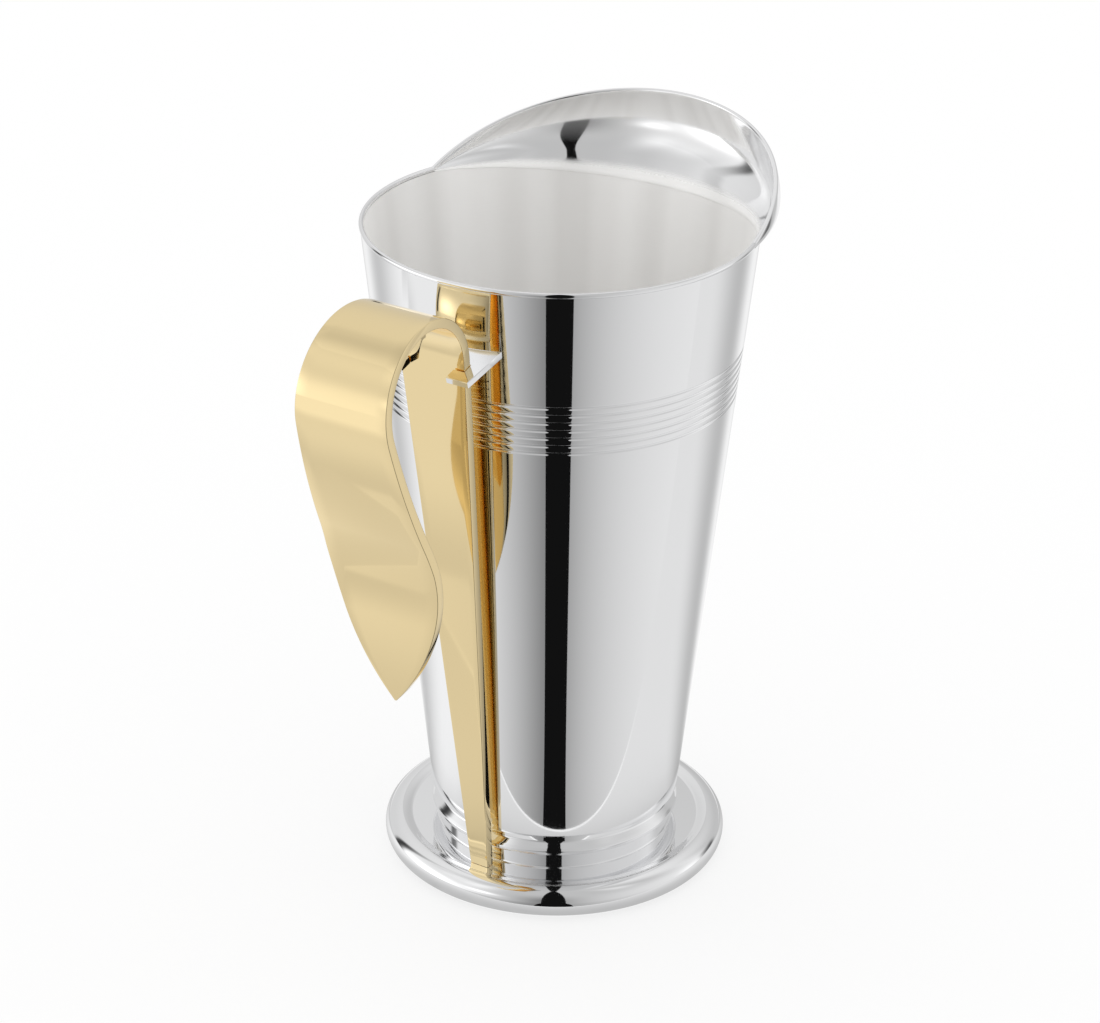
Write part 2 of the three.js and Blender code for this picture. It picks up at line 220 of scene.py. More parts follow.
fillet_height = LEDGE + LEDGE_FILLET
fillet_reach = np.sqrt((RING_TUBE + LEDGE_FILLET) ** 2 - (fillet_height - RING[1]) ** 2)
ring_end = 180 - np.degrees(np.arcsin((fillet_height - RING[1]) / (RING_TUBE + LEDGE_FILLET)))
bead_reach = NECK + BEAD_BULGE
slope = np.degrees(np.arctan2(BEAD_TOP - BEAD_EDGE[1], BEAD_BULGE))
foot_outside = joined(
    line((RING[0] - HEM, 0), (RING[0] - APART, 0), 6),
    arc(RING, RING_TUBE, -90, ring_end, 72),
    arc((RING[0] - fillet_reach, fillet_height), LEDGE_FILLET, ring_end - 180, -90, 14),
    line((RING[0] - fillet_reach - APART, LEDGE), (NECK + SPOOL_FILLET + APART, LEDGE), 8),
    arc((NECK + SPOOL_FILLET, LEDGE + SPOOL_FILLET), SPOOL_FILLET, -90, -180, 8),
    line((NECK, LEDGE + SPOOL_FILLET + APART), (NECK, BEAD_FOOT), 6),
    arc((NECK, BEAD_EDGE[0]), (BEAD_BULGE, BEAD_EDGE[0] - BEAD_FOOT), -90, 0, 20),
    line((bead_reach, BEAD_EDGE[0] + APART), (bead_reach, BEAD_EDGE[1] - BEAD_ROUND), 4),
    arc((bead_reach - BEAD_ROUND, BEAD_EDGE[1] - BEAD_ROUND), BEAD_ROUND, 6, 90 - slope, 8),
    line(
        (bead_reach - BEAD_SHOULDER[0], BEAD_EDGE[1] + BEAD_SHOULDER[1]),
        (NECK + COVE_START[0], BEAD_TOP + COVE_START[1]), 6,
    ),
    line((NECK + COVE_MIDDLE[0], BEAD_TOP + COVE_MIDDLE[1]), (NECK, BEAD_TOP + COVE_END), 3),
    line((NECK, BEAD_TOP + COVE_END + APART), (NECK, FOOT_TOP), 6),
    line((NECK, FOOT_TOP), (NECK - FLANGE, FOOT_TOP), 4),
)
ring_inside = np.degrees(np.arcsin((LEDGE - FOOT_SHEET - RING[1]) / (RING_TUBE - FOOT_SHEET)))
foot_inside = joined(
    line((NECK - FLANGE, FOOT_TOP - FOOT_SHEET), (NECK - FOOT_SHEET, FOOT_TOP - FOOT_SHEET), 4),
    line((NECK - FOOT_SHEET, FOOT_TOP - FOOT_SHEET), (NECK - FOOT_SHEET, LEDGE - FOOT_SHEET), 10),
    line((NECK - FOOT_SHEET, LEDGE - FOOT_SHEET), (RING[0] - INSIDE_LEDGE, LEDGE - FOOT_SHEET), 8),
    arc(RING, RING_TUBE - FOOT_SHEET, 180 - ring_inside, -90, 40),
    line((RING[0] - APART, FOOT_SHEET), (RING[0] - HEM, FOOT_SHEET), 5),
)
foot = skin("spun_foot", spun(joined(foot_outside, foot_inside)), True)
foot.data.materials.append(polished_silver("polished_silver_foot").material)
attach(foot, "root")
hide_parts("foot")

# Vessel bottom
# A flat disc let into the wall's lower end and soldered in, so that the vessel holds water.
# Its silver plate keeps the fine rings of the turning and is satin, not polished.

BASE_HEIGHT = 22.9
BASE_RADIUS = 40.9
WALL_FOOT = 22.0
WALL_SHEET = 1.2
BOTTOM_SHEET = 1.2
DISC_MIDDLE = 0.5

bottom_radius = BASE_RADIUS - WALL_SHEET
disc_section = joined(
    line((DISC_MIDDLE, WALL_FOOT), (bottom_radius, WALL_FOOT), 12),
    line((bottom_radius, WALL_FOOT), (bottom_radius, WALL_FOOT + BOTTOM_SHEET), 3),
    line((bottom_radius, WALL_FOOT + BOTTOM_SHEET), (DISC_MIDDLE, WALL_FOOT + BOTTOM_SHEET), 40),
)
bottom = skin("vessel_bottom_disc", spun(disc_section, 160).swapaxes(0, 1), False)
disc_finish = Finish("satin_silver_bottom")
disc_place = disc_finish.place()
disc_radius = disc_finish.node("VectorMath", {"operation": "LENGTH"}, {0: disc_place}, "Value")
disc_lines = disc_finish.spun_lines(disc_radius, 2600.0)
disc_finish.set(
    Metallic=1.0,
    Base_Color=disc_finish.blend(disc_lines, (0.8, 0.79, 0.765, 1), (0.86, 0.85, 0.83, 1)),
    Roughness=disc_lines * 0.12 + 0.3,
    Normal=disc_finish.node("Bump", {}, {"Strength": 0.25, "Distance": 0.00004, "Height": disc_lines}),
)
bottom.data.materials.append(disc_finish.material)
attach(bottom, "root")
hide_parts("vessel_bottom")

# Vessel wall
# A tapered wall spun from one sheet, with seven rolled grooves below the rim and a notch opposite
# the handle for the spout. Silver-plated, polished outside and left satin with spun lines inside.

RIM_RADIUS = 62.5
RIM_HEIGHT = 220.5
RIM_WIRE = 1.8
GROOVES = 7
GROOVE_DROP = 38.2
GROOVE_PITCH = 2.62
GROOVE_WIDTH = 1.45
GROOVE_DEPTH = 0.45
SPOUT_HALF_ANGLE = np.radians(74.8)
SPOUT_ROOT_DROP = 6.0
SEAM = 0.15

wall_slope = (RIM_RADIUS - BASE_RADIUS) / (RIM_HEIGHT - BASE_HEIGHT)
wall_top = RIM_HEIGHT - RIM_WIRE + SEAM


def wall_radius(height):
    """Outside radius of the vessel: it grows evenly with the height above the lower edge."""
    return BASE_RADIUS + wall_slope * (height - BASE_HEIGHT)


def spout_share(angle):
    """Share of the spout's rise at an angle from its middle: a half cosine that ends at the corners."""
    share = np.cos(angle / SPOUT_HALF_ANGLE * np.pi / 2)
    return np.clip(share, 0, None) * (np.abs(angle) < SPOUT_HALF_ANGLE)


def notch_height(angle):
    """Upper edge of the wall: level along the rim, and lower where the spout is let in."""
    return wall_top - SPOUT_ROOT_DROP * spout_share(angle)


# Radius over bearing and height: the even taper, less a squared sine in each groove. Outside it runs
# up to the notch's edge, and inside it comes down again one sheet further in.
groove_step = np.linspace(0, 1, 15)[:, None]
groove_index = np.arange(GROOVES)[::-1]
groove_top = RIM_HEIGHT - GROOVE_DROP - GROOVE_PITCH * groove_index
groove_height = groove_top - GROOVE_WIDTH * (1 - groove_step)
groove_depth = GROOVE_DEPTH * np.sin(np.pi * groove_step) ** 2 + 0 * groove_height
groove_height = groove_height.T.ravel()
groove_depth = groove_depth.T.ravel()
band_top = groove_height[-1]
plain_height = np.linspace(WALL_FOOT, groove_height[0] - 0.02, 60)
low_height = np.concatenate([plain_height, groove_height])
low_depth = np.concatenate([0 * plain_height, groove_depth])
rise = np.linspace(0.004, 1, 20)
wall_angle = np.linspace(-np.pi, np.pi, 384, endpoint=False)[:, None]
upper_edge = notch_height(wall_angle)
outer_height = np.hstack([low_height + 0 * wall_angle, band_top + rise * (upper_edge - band_top)])
outer_depth = np.hstack([low_depth + 0 * wall_angle, 0 * rise + 0 * wall_angle])
outer_radius = wall_radius(outer_height) - outer_depth
inner_share = np.linspace(1, 0, 60)
inner_height = WALL_FOOT + inner_share * (upper_edge - WALL_FOOT)
inner_radius = wall_radius(inner_height) - WALL_SHEET
wall_r = np.hstack([outer_radius, inner_radius])
wall_z = np.hstack([outer_height, inner_height])
wall_rings = np.stack([wall_r * np.cos(wall_angle), wall_r * np.sin(wall_angle), wall_z], 2)
wall = skin("vessel_wall_spun", wall_rings, True)


def mark_satin(made, share):
    """Keeps on each point how satin the plate is there, from 0 polished to 1 satin."""
    layer = made.data.attributes.new("satin", "FLOAT", "POINT")
    layer.data.foreach_set("value", share.astype(np.float32).ravel())


mark_satin(wall, np.hstack([0 * outer_height, 0 * inner_height + 1]))


def two_finish_silver(name, spun_satin):
    """Silver plate that is polished where the satin mark is 0 and satin where it is 1. The satin has
    fine spun lines, or an even grain where the sheet was shaped by hand. Its colour also carries broad
    pale bands that change with the bearing from the vessel's middle line: painted highlights that stand
    in for the satin's soft upright gleams."""
    finish = Finish(name)
    satin = finish.node("Attribute", {"attribute_name": "satin"}, {}, "Fac")
    if spun_satin:
        height = finish.node("SeparateXYZ", {}, {"Vector": finish.place()}, "Z")
        marks = finish.spun_lines(height, 2600.0)
        contrast = 4.5
    else:
        marks = finish.grain(1500.0, 2.0)
        contrast = 1.2
    bloom = finish.grain(22.0)
    haze = finish.grain(160.0, 5.0)
    polished = finish.blend(bloom, (0.93, 0.932, 0.94, 1), (0.905, 0.907, 0.912, 1))
    levelled = {0: finish.place(), 1: (1, 1, 0)}
    flat = finish.node("VectorMath", {"operation": "MULTIPLY"}, levelled, "Vector")
    around = finish.node("VectorMath", {"operation": "NORMALIZE"}, {0: flat}, "Vector")
    # Painted highlights: broad pale bands over the bearing are laid into the satin's colour on top of
    # the real spun lines or grain.
    marks_and_painted_highlights = (finish.grain(3.2, 1.0, around) - 0.5) * contrast + marks * 0.3 + 0.45
    satin_tone_with_painted_highlights = finish.blend(marks_and_painted_highlights, (0.895, 0.886, 0.87, 1), (1.0, 0.993, 0.98, 1))
    shine = haze * 0.03 + 0.022
    dull = marks * 0.08 + 0.28
    finish.set(
        Metallic=1 - satin * 0.8,
        Anisotropic=0.8,
        Anisotropic_Rotation=0.25,
        Base_Color=finish.blend(satin, polished, satin_tone_with_painted_highlights),
        Roughness=shine + satin * (dull - shine),
        Normal=finish.node("Bump", {}, {"Strength": 0.1, "Distance": 0.00003, "Height": satin * marks}),
    )
    return finish


wall.data.materials.append(two_finish_silver("silver_wall", True).material)
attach(wall, "root")
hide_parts("vessel_wall")

# Rim wire
# A round silver-plated wire soldered along the wall's top edge, from one corner of the spout round
# the handle side to the other. It stiffens the rim and stands a little proud of the wall.

WIRE_RADIUS = 0.82

wire_middle = RIM_RADIUS - WALL_SHEET / 2

# A circle carried round the rim from one corner of the spout to the other.
wire_angle = np.linspace(SPOUT_HALF_ANGLE, 2 * np.pi - SPOUT_HALF_ANGLE, 300)[:, None]
wire_section = arc((wire_middle, RIM_HEIGHT - RIM_WIRE / 2), WIRE_RADIUS, 0, 345, 24)
wire_r, wire_z = wire_section.T
wire_x, wire_y = wire_r * np.cos(wire_angle), wire_r * np.sin(wire_angle)
wire_rings = np.stack([wire_x, wire_y, wire_z + 0 * wire_angle], 2)
rim = skin("rim_wire_round", wire_rings, False)
rim.data.materials.append(polished_silver("polished_silver_rim").material)
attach(rim, "root")
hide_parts("rim_wire")

# Spout
# A hammered and planished scoop of silver-plated sheet let into the wall's notch and soldered flush.
# Its bowl is polished, with a thin veil towards the lip. A ridge at its root leads down to the satin.

SPOUT_RISE = 20.6
SPOUT_REACH = 10.95
SPOUT_SHEET = 1.4
SIDE_FULLNESS = 0.7
ROOT_FOLD = 0.07
ROOT_RISE = np.radians(50)
ROOT_PULL = 0.38
LIP_PULL = 0.64
LIP_LEAN = np.tan(np.radians(5.2))
LIP_SEAM = 0.05
SATIN_FADE = (0.02, 0.16)
LIP_VEIL = 0.2
VEIL_FADE = (0.4, 0.7)

# Section at each bearing: the wall's line turns through a small fold to the root's rise and runs on
# along a cubic curve to the lip. Half the sheet is set off to both sides, with a half circle at the
# lip. Rise and reach follow the half cosine of the spout's share.
spout_angle = np.linspace(-1, 1, 241)[:, None] * SPOUT_HALF_ANGLE
share = spout_share(spout_angle)
root = notch_height(spout_angle)
tall = RIM_HEIGHT - LIP_SEAM + SPOUT_RISE * share - root
root_r = wall_radius(root) - WALL_SHEET / 2
lip_r = wire_middle + SPOUT_REACH * share
bowl_r = wire_middle + SPOUT_REACH * share * (1 + SIDE_FULLNESS * (1 - share))
wall_rise = np.arctan2(1, wall_slope)
turning = np.linspace(wall_rise, ROOT_RISE, 12)
fold_r = root_r + ROOT_FOLD * tall * (np.sin(wall_rise) - np.sin(turning))
fold_z = root + ROOT_FOLD * tall * (np.cos(turning) - np.cos(wall_rise))
t = np.linspace(0, 1, 64)
weight = [(1 - t) ** 3, 3 * (1 - t) ** 2 * t, 3 * (1 - t) * t ** 2, t ** 3]
swing = [3 * (1 - t) ** 2, 6 * (1 - t) * t, 3 * t ** 2]
start_r, start_z = fold_r[:, -1:], fold_z[:, -1:]
guide_r = [
    start_r, start_r + ROOT_PULL * tall * np.cos(ROOT_RISE),
    bowl_r + LIP_LEAN * LIP_PULL * tall, lip_r,
]
guide_z = [
    start_z, start_z + ROOT_PULL * tall * np.sin(ROOT_RISE),
    root + (1 - LIP_PULL) * tall, root + tall,
]
middle_r = np.hstack([fold_r[:, :-1], sum(w * g for w, g in zip(weight, guide_r))])
middle_z = np.hstack([fold_z[:, :-1], sum(w * g for w, g in zip(weight, guide_z))])
along_r = sum(w * (b - a) for w, a, b in zip(swing, guide_r, guide_r[1:]))
along_z = sum(w * (b - a) for w, a, b in zip(swing, guide_z, guide_z[1:]))
length = np.hypot(along_r, along_z)
along_r = np.hstack([np.cos(turning[:-1]) + 0 * tall, along_r / length])
along_z = np.hstack([np.sin(turning[:-1]) + 0 * tall, along_z / length])
up_bowl = np.concatenate([0 * turning[:-1], t])
half = (WALL_SHEET + (SPOUT_SHEET - WALL_SHEET) * np.clip(4 * up_bowl, 0, 1)) / 2
turn = np.radians(np.linspace(0, 180, 9)[1:-1])
lip_half = half[-1]
lip_along_r, lip_along_z = along_r[:, -1:], along_z[:, -1:]
round_r = middle_r[:, -1:] + lip_half * (np.cos(turn) * lip_along_z + np.sin(turn) * lip_along_r)
round_z = middle_z[:, -1:] + lip_half * (np.sin(turn) * lip_along_z - np.cos(turn) * lip_along_r)
spout_r = np.hstack([middle_r + half * along_z, round_r, (middle_r - half * along_z)[:, ::-1]])
spout_z = np.hstack([middle_z - half * along_r, round_z, (middle_z + half * along_r)[:, ::-1]])
spout_z = root + (spout_z - root) * (tall / (tall + lip_half))
spout_rings = np.stack([spout_r * np.cos(spout_angle), spout_r * np.sin(spout_angle), spout_z], 2)
spout = skin("spout_scoop", spout_rings, False)
inside_satin = 1 - np.interp(up_bowl, SATIN_FADE, (0, 1)) + 0 * tall
inside_satin = inside_satin ** 2 * (3 - 2 * inside_satin)
inside_satin = np.maximum(inside_satin, np.interp(up_bowl, VEIL_FADE, (0, LIP_VEIL)))
satin_rows = np.hstack([0 * middle_r, 0 * round_r, inside_satin[:, ::-1]])
mark_satin(spout, np.concatenate([satin_rows.ravel(), [0, 0]]))
spout.data.materials.append(two_finish_silver("silver_spout", False).material)
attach(spout, "root")
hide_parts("spout")

# Handle strip
# One gold-plated strip with eased edges: it stands on the foot's ledge, leans out along the wall,
# widens, loops over outwards and comes down as a pointed leaf. It is bent cold and then plated.

STRIP = 3.1
STRIP_EDGE = 0.28
FOOT_HALF = 3.35
NECK_HALF = 11.85
LEAF_HALF = 20.0
TIP_HALF = 0.4
POINT_LENGTH = 51.6
STRIP_FOOT = (41.69, 9.5)
STANDOFF = 6.6
BRACKET_HEIGHT = RIM_HEIGHT - 24.2
STRIP_RISE = 2.2
LOOP_RADIUS = 24.59
SWEEP_RADIUS = 222.0
RETURN_RADIUS = 93.2
LEAF_TAIL = 29.2
LEAN_START, LEAN_MOST, LEAN_TIP = np.radians([14.8, 25.1, 5.1])
LEVEL_RUN = 8.0

# Path: five runs, each of one bend, added up from the foot in fine steps of heading, reach and height.
# Half width: it grows in straight lines to the neck and to the leaf, and a circle's arc ends it.
bracket_reach = wall_radius(BRACKET_HEIGHT) + STANDOFF
strip_lean = np.arctan2(bracket_reach - STRIP_FOOT[0], BRACKET_HEIGHT - STRIP_FOOT[1])
upright = np.hypot(bracket_reach - STRIP_FOOT[0], BRACKET_HEIGHT - STRIP_FOOT[1]) + STRIP_RISE
runs = np.array([
    upright,
    LOOP_RADIUS * (np.pi + LEAN_START - strip_lean),
    SWEEP_RADIUS * (LEAN_MOST - LEAN_START),
    RETURN_RADIUS * (LEAN_MOST - LEAN_TIP),
    LEAF_TAIL,
])
bends = np.array([0, 1 / LOOP_RADIUS, 1 / SWEEP_RADIUS, -1 / RETURN_RADIUS, 0])
run_ends = np.cumsum(runs)
strip_length = run_ends[-1]
FINE = 6001
fine = np.linspace(0, strip_length, FINE)
bend_at = bends[np.clip(np.searchsorted(run_ends, fine, side="right"), 0, len(runs) - 1)]
step = fine[1] - fine[0]
heading = strip_lean + np.concatenate([[0], np.cumsum((bend_at[1:] + bend_at[:-1]) / 2 * step)])
step_heading = (heading[1:] + heading[:-1]) / 2
reach = STRIP_FOOT[0] + np.concatenate([[0], np.cumsum(np.sin(step_heading) * step)])
height = STRIP_FOOT[1] + np.concatenate([[0], np.cumsum(np.cos(step_heading) * step)])
stations = np.concatenate([
    np.linspace(0, upright - 2, 90),
    np.linspace(upright - 1.5, strip_length - POINT_LENGTH, 200),
    strip_length - POINT_LENGTH * np.linspace(1, 0, 90)[1:] ** 1.15,
])
heading, reach, height = (np.interp(stations, fine, values) for values in (heading, reach, height))
shoulder = strip_length - POINT_LENGTH
arch_drop = LEAF_HALF - TIP_HALF
arch_radius = (POINT_LENGTH ** 2 + arch_drop ** 2) / (2 * arch_drop)
arch = LEAF_HALF - arch_radius + np.sqrt(arch_radius ** 2 - np.clip(stations - shoulder, 0, None) ** 2)
straight_half = np.interp(stations, [0, upright, shoulder], [FOOT_HALF, NECK_HALF, LEAF_HALF])
strip_half = np.where(stations > shoulder, arch, straight_half)


def strip_rings():
    """A rounded oblong carried along the path. Across is the width, through is the thickness, and
    the four corners are quarter circles. The back face follows the path, and the foot is cut level."""
    edge = np.minimum(STRIP_EDGE, strip_half * 0.9)[:, None]
    quarter = np.radians(np.linspace(0, 90, 6))
    cos, sin = np.cos(quarter), np.sin(quarter)
    flat = np.linspace(-1, 1, 9)[1:-1]
    wide = strip_half[:, None]
    across = np.hstack([
        flat * (wide - edge), wide - edge + edge * sin, wide - edge + edge * cos,
        -flat * (wide - edge), -(wide - edge) - edge * sin, -(wide - edge) - edge * cos,
    ])
    through = np.hstack([
        0 * flat + 0 * edge, edge * (1 - cos), STRIP - edge * (1 - sin),
        STRIP + 0 * flat + 0 * edge, STRIP - edge * (1 - cos), edge * (1 - sin),
    ])
    out = reach[:, None] + through * np.cos(heading)[:, None]
    up = height[:, None] - through * np.sin(heading)[:, None]
    level = np.clip(stations / LEVEL_RUN, 0, 1)[:, None]
    up = up + (1 - level) * through * np.sin(strip_lean)
    return np.stack([-out, across, up], 2)


strip = skin("handle_strip_leaf", strip_rings(), False, 40)


def polished_gold(name):
    """Mirror-polished gold plate: pale yellow metal with a faint rosy bloom and polishing haze."""
    finish = Finish(name)
    bloom = finish.grain(18.0)
    haze = finish.grain(140.0, 5.0)
    finish.set(
        Metallic=1.0,
        Base_Color=finish.blend(bloom, (0.905, 0.74, 0.43, 1), (0.88, 0.71, 0.4, 1)),
        Roughness=haze * 0.035 + 0.028,
    )
    return finish


strip.data.materials.append(polished_gold("polished_gold").material)
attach(strip, "root")
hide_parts("handle_strip")

# Handle stud
# A short gold-plated stud let into the underside of the strip's foot, with a chamfered end.
# It passes down through the foot's ledge and takes the washer and the nut.

STUD = 1.1
STUD_ROOT = 11.5
STUD_END = 4.6
STUD_CHAMFER = 0.2
STUD_MIDDLE = 0.3

stud_reach = STRIP_FOOT[0] + STRIP / np.cos(strip_lean) / 2
stud_section = joined(
    line((STUD_MIDDLE, STUD_END), (STUD - STUD_CHAMFER, STUD_END), 4),
    line((STUD, STUD_END + STUD_CHAMFER), (STUD, STUD_ROOT), 12),
    line((STUD, STUD_ROOT), (STUD_MIDDLE, STUD_ROOT), 4),
)
stud = skin("handle_strip_stud", spun(stud_section, 48).swapaxes(0, 1) - (stud_reach, 0, 0), False)
stud.data.materials.append(polished_gold("polished_gold_stud").material)
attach(stud, "root")
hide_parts("handle_strip")

# Handle bracket
# A silver-plated claw plate soldered to the wall near the rim. It passes both edges of the strip and
# hooks over the strip's front, so that the strip is held without a screw.

PLATE = 2.2
PLATE_EDGE = 0.22
CLAW = 4.2
CLAW_WRAP = 3.6
CLAW_SIDE = 4.0
ROOT_SIDE = 6.4
ROOT_TRIM = 1.2
SIDE_PLAY = 0.1
FACE_PLAY = 0.2
PLATE_DIP = np.radians(8)
TOUCH = 0.05

bracket_half = np.interp(upright - STRIP_RISE, stations, strip_half)
slot_half = bracket_half + SIDE_PLAY
slot_back = -FACE_PLAY
slot_front = STRIP / np.cos(PLATE_DIP) + FACE_PLAY
claw_front = slot_front + FACE_PLAY + CLAW
claw_mouth = bracket_half - CLAW_WRAP
root_wide = slot_half + ROOT_SIDE - ROOT_TRIM
plate_tilt = strip_lean + PLATE_DIP


def wall_reach(across, level):
    """Distance out along the tilted plate at which it meets the wall: the wall's circle at the
    height that the plate has there, by six rounds of the same formula."""
    out = np.full(np.shape(across), -STANDOFF)
    for _ in range(6):
        at_height = BRACKET_HEIGHT - out * np.sin(plate_tilt) + level * np.cos(plate_tilt)
        away = np.sqrt((wall_radius(at_height) - TOUCH) ** 2 - across ** 2)
        out = (away - bracket_reach - level * np.sin(plate_tilt)) / np.cos(plate_tilt)
    return out


def plate_edges(level):
    """Inner and outer edge of the claw plate at a level, point for point: from one claw's tip round
    the slot to the other's. The outer edge follows the wall between the two sides."""
    tip, side, back = np.linspace(0, 1, 7)[:-1], np.linspace(0, 1, 9)[:-1], np.linspace(1, 0, 25)
    corner = wall_reach(np.array(root_wide), level)
    inner = np.vstack([
        np.stack([slot_front + 0 * tip, claw_mouth + (slot_half - claw_mouth) * tip], 1),
        np.stack([slot_front + (slot_back - slot_front) * side, slot_half + 0 * side], 1),
        np.stack([slot_back + 0 * back, slot_half * back], 1),
    ])
    outer = np.vstack([
        np.stack([claw_front + 0 * tip, claw_mouth + (slot_half + CLAW_SIDE - claw_mouth) * tip], 1),
        np.stack([
            claw_front + (corner - claw_front) * side,
            slot_half + CLAW_SIDE + (root_wide - slot_half - CLAW_SIDE) * side,
        ], 1),
        np.stack([wall_reach(root_wide * back, level), root_wide * back], 1),
    ])
    return [np.vstack([edge, (edge * (1, -1))[-2::-1]]) for edge in (inner, outer)]


def bracket_rings():
    """An oblong with eased corners at each point of the claw: across it from the inner edge to the
    outer edge, through it the plate's thickness, all tilted about the strip's back face."""
    top, ease = PLATE / 2, PLATE_EDGE
    corners = [(0, top, 1), (1, top, 1), (1, top - ease, 0), (1, ease - top, 0),
               (1, -top, 1), (0, -top, 1), (0, ease - top, 0), (0, top - ease, 0)]
    ring = []
    for far, level, eased in corners:
        inner, outer = plate_edges(level)
        along = (outer - inner) / np.hypot(*(outer - inner).T)[:, None]
        out, across = (outer - along * ease * eased if far else inner + along * ease * eased).T
        reach_out = bracket_reach + out * np.cos(plate_tilt) + level * np.sin(plate_tilt)
        up = BRACKET_HEIGHT - out * np.sin(plate_tilt) + level * np.cos(plate_tilt)
        ring.append(np.stack([-reach_out, across, up], 1))
    return np.stack(ring, 1)


bracket = skin("handle_bracket_claw", bracket_rings(), False)
bracket.data.materials.append(polished_silver("polished_silver_bracket").material)
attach(bracket, "root")
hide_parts("handle_bracket")

# Handle washer
# A round plated washer on the strip's stud, punched from sheet with eased rims and pressed against
# the underside of the foot's ledge. It only shows from below.

STUD_HOLE = 1.2
WASHER = 2.6
WASHER_TOP = 8.1
WASHER_THICK = 0.6
WASHER_EDGE = 0.12


def ring_rings(outer, top, thick, edge, sides=0, count=96):
    """Rings of a flat ring on the stud. The outer radius follows a polygon with that many sides, or a
    circle where sides is 0, and both rims are eased by the edge."""
    angle = np.linspace(0, 2 * np.pi, count, endpoint=False)[:, None]
    if sides:
        part = np.pi / sides
        outer = outer * np.cos(part) / np.cos((angle + part) % (2 * part) - part)
    else:
        outer = outer + 0 * angle
    hole = STUD_HOLE + 0 * angle
    radius = np.hstack([hole, outer - edge, outer, outer, outer - edge, hole])
    level = top - np.array([thick, thick, thick - edge, edge, 0, 0])
    x, y = radius * np.cos(angle), radius * np.sin(angle)
    return np.stack([x - stud_reach, y, level + 0 * angle], 2)


washer_rings = ring_rings(WASHER, WASHER_TOP, WASHER_THICK, WASHER_EDGE)
washer = skin("handle_washer_plate", washer_rings, True, 25)
washer.data.materials.append(polished_silver("polished_silver_washer").material)
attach(washer, "root")
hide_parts("handle_washer")

# Handle nut
# A hexagonal nut of turned brass, drawn up on the stud against the washer. It sits inside the
# hollow foot, where a wrench reaches it from below.

NUT_FLATS = 4.5
NUT_SIDES = 6
NUT_TOP = 7.2
NUT_THICK = 1.8
NUT_EDGE = 0.25

nut_rings = ring_rings(NUT_FLATS / np.sqrt(3), NUT_TOP, NUT_THICK, NUT_EDGE, NUT_SIDES)
nut = skin("handle_nut_hex", nut_rings, True, 25)
nut_finish = Finish("turned_brass")
nut_lines = nut_finish.grain(900.0, 4.0)
nut_finish.set(
    Metallic=1.0,
    Base_Color=nut_finish.blend(nut_lines, (0.72, 0.56, 0.28, 1), (0.8, 0.65, 0.36, 1)),
    Roughness=nut_lines * 0.2 + 0.22,
)
nut.data.materials.append(nut_finish.material)
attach(nut, "root")
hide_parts("handle_nut")

# Studio
# A pale floor and white surroundings, with grey screens on the camera's side that only the polished
# metal sees. A dark slot between the two screens is where the camera looks through.

CAMERA = np.array([-0.851, -0.55265, 0.6055])
RIGHT = (0.55014, -0.83502, 0.00871)
UP = (0.35627, 0.24414, 0.90193)
FORWARD = (0.75526, 0.49309, -0.4318)
PHOTO_WIDTH = 1100
FOCAL_PIXELS = 3485.96
SENSOR = 36.0

scene = bpy.context.scene
scene.view_settings.view_transform = "Standard"
camera_data = bpy.data.cameras.new("photo_camera")
camera_data.sensor_width = SENSOR
camera_data.lens = FOCAL_PIXELS / PHOTO_WIDTH * SENSOR
camera = bpy.data.objects.new("photo_camera", camera_data)
camera_axes = np.eye(4)
camera_axes[:3, 0], camera_axes[:3, 1], camera_axes[:3, 2] = RIGHT, UP, -np.array(FORWARD)
camera_axes[:3, 3] = CAMERA
camera.matrix_world = camera_axes.T.tolist()
scene.collection.objects.link(camera)
scene.camera = camera


def stage_sheet(name, points):
    """Open sheet over a grid of points in metres, for the floor and the screens."""
    rows, columns, _ = points.shape
    i, j = np.arange(rows - 1)[:, None], np.arange(columns - 1)
    first = i * columns + j
    faces = np.stack([first, first + 1, first + columns + 1, first + columns], 2)
    mesh = bpy.data.meshes.new(name)
    mesh.from_pydata(points.reshape(-1, 3).tolist(), [], faces.reshape(-1, 4).tolist())
    made = bpy.data.objects.new(name, mesh)
    scene.collection.objects.link(made)
    return made


FLOOR = 6.0
FLOOR_DROP = 0.0001
FLOOR_GLOW = 0.7
floor_x, floor_y = np.meshgrid([-FLOOR, FLOOR], [-FLOOR, FLOOR])
floor = stage_sheet("floor", np.stack([floor_x, floor_y, 0 * floor_x - FLOOR_DROP], 2))
floor_finish = Finish("pale_floor")
floor_tree = floor_finish.tree
seen = floor_finish.node("LightPath", {}, {}, "Is Camera Ray")
mirrored = floor_finish.node("LightPath", {}, {}, "Is Glossy Ray")
through = floor_finish.node("LightPath", {}, {}, "Is Transmission Ray")
plain = floor_finish.node("BsdfDiffuse", {}, {"Color": (1, 1, 1, 1)}, "BSDF")
glow = floor_finish.node("Emission", {}, {"Color": (1, 1, 1, 1), "Strength": 1.0}, "Emission")
white_share = (seen + mirrored + through) * FLOOR_GLOW
above = floor_finish.node("MixShader", {}, {0: white_share, 1: plain, 2: glow}, "Shader")
below = floor_finish.node("NewGeometry", {}, {}, "Backfacing")
clear = floor_finish.node("BsdfTransparent", {}, {}, "BSDF")
surface = floor_finish.node("MixShader", {}, {0: below, 1: above, 2: clear}, "Shader")
floor_tree.links.new(surface.socket, floor_tree.nodes["Material Output"].inputs["Surface"])
floor.data.materials.append(floor_finish.material)


